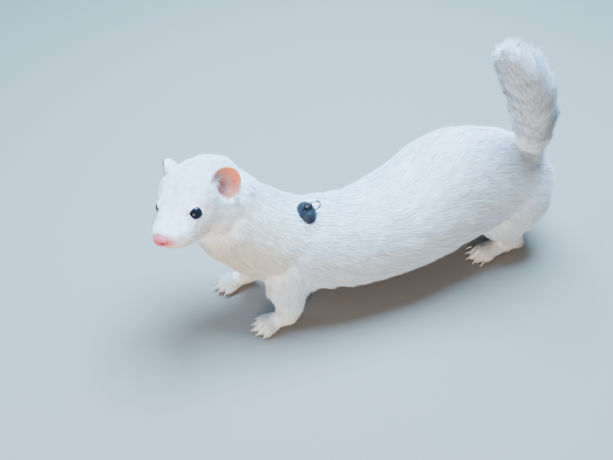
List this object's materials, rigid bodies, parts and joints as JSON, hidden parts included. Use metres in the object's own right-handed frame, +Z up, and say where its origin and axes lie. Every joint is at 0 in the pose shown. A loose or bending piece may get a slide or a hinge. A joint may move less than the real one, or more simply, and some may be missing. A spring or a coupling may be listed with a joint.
{
  "type": "ferret",
  "caption": "Still, life-size model of a standing white ferret with its head turned to its left, a raised bushy tail and a small dark harness.",
  "frame": {"origin": "middle of the whole box on the floor, under the belly", "axes": "+Z up, the body runs along X and faces -X, its left side is towards -Y"},
  "size_m": [0.3076, 0.0898, 0.1912],
  "materials": {
    "coat": "soft white fur",
    "ear_skin": "thin pink skin",
    "nose_skin": "moist pink skin",
    "eye": "wet gloss",
    "harness_fabric": "woven webbing",
    "harness_plastic": "moulded, matt",
    "harness_metal": "plated wire"
  },
  "bodies": {
    "root": {"torso": "coat", "neck": "coat", "head": "coat", "nose": "nose_skin", "ear_left": "ear_skin", "ear_right": "ear_skin", "eye_left": "eye", "eye_right": "eye", "foreleg_left": "coat", "forepaw_left": "coat", "foreleg_right": "coat", "forepaw_right": "coat", "hindleg_left": "coat", "hindpaw_left": "coat", "hindleg_right": "coat", "hindpaw_right": "coat", "tail": "coat", "harness_straps": "harness_fabric", "harness_keeper": "harness_plastic", "harness_ring": "harness_metal"}
  },
  "joints": []
}
